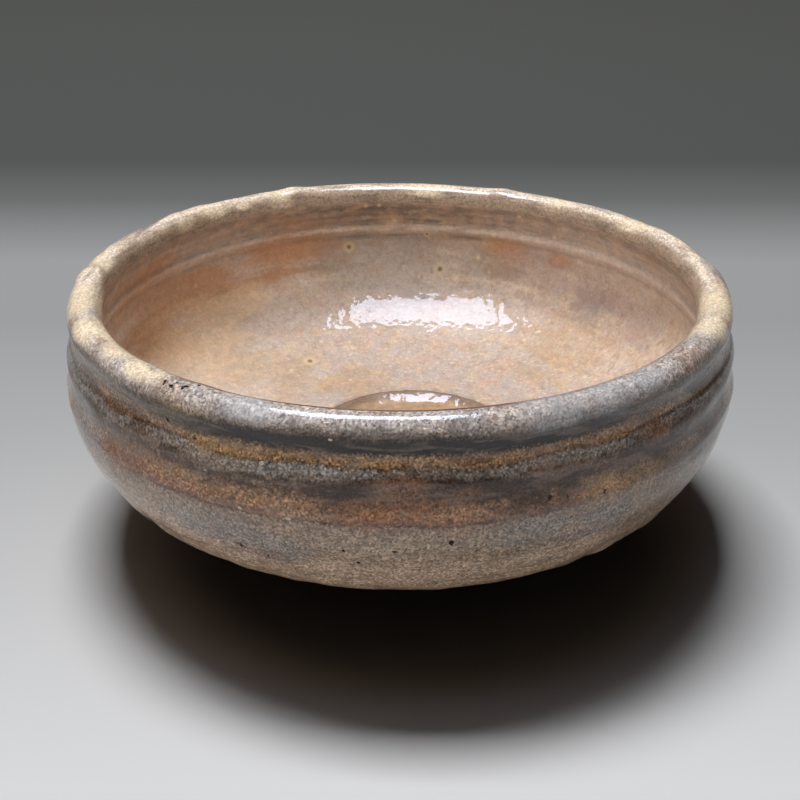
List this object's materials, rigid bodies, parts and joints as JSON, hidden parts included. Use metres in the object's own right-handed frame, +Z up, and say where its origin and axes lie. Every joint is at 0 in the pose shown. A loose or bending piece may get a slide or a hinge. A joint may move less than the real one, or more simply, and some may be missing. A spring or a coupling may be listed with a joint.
{
  "type": "tea bowl",
  "caption": "Wide low thrown stoneware tea bowl with a rolled lip, finger ridges, a sunk tea pool, a turned foot ring and a runny brown glaze.",
  "frame": {"origin": "centre of the foot ring's resting face, under the middle of the bowl", "axes": "+Z up through the mouth, +Y away from the picture's viewer, +X to that viewer's right"},
  "size_m": [0.1519, 0.1513, 0.0582],
  "materials": {
    "bare_stoneware": "matt, grainy, iron-brown fired clay",
    "outside_glaze": "semi-gloss, banded and mottled brown, ochre and blue-grey",
    "inside_glaze": "glossy mottled tan",
    "pool_glass": "very glossy thick glass"
  },
  "bodies": {
    "root": {"clay_body": "bare_stoneware", "foot_ring": "bare_stoneware", "outside_glaze": "outside_glaze", "inside_glaze": "inside_glaze", "pool_glaze": "pool_glass"}
  },
  "joints": []
}
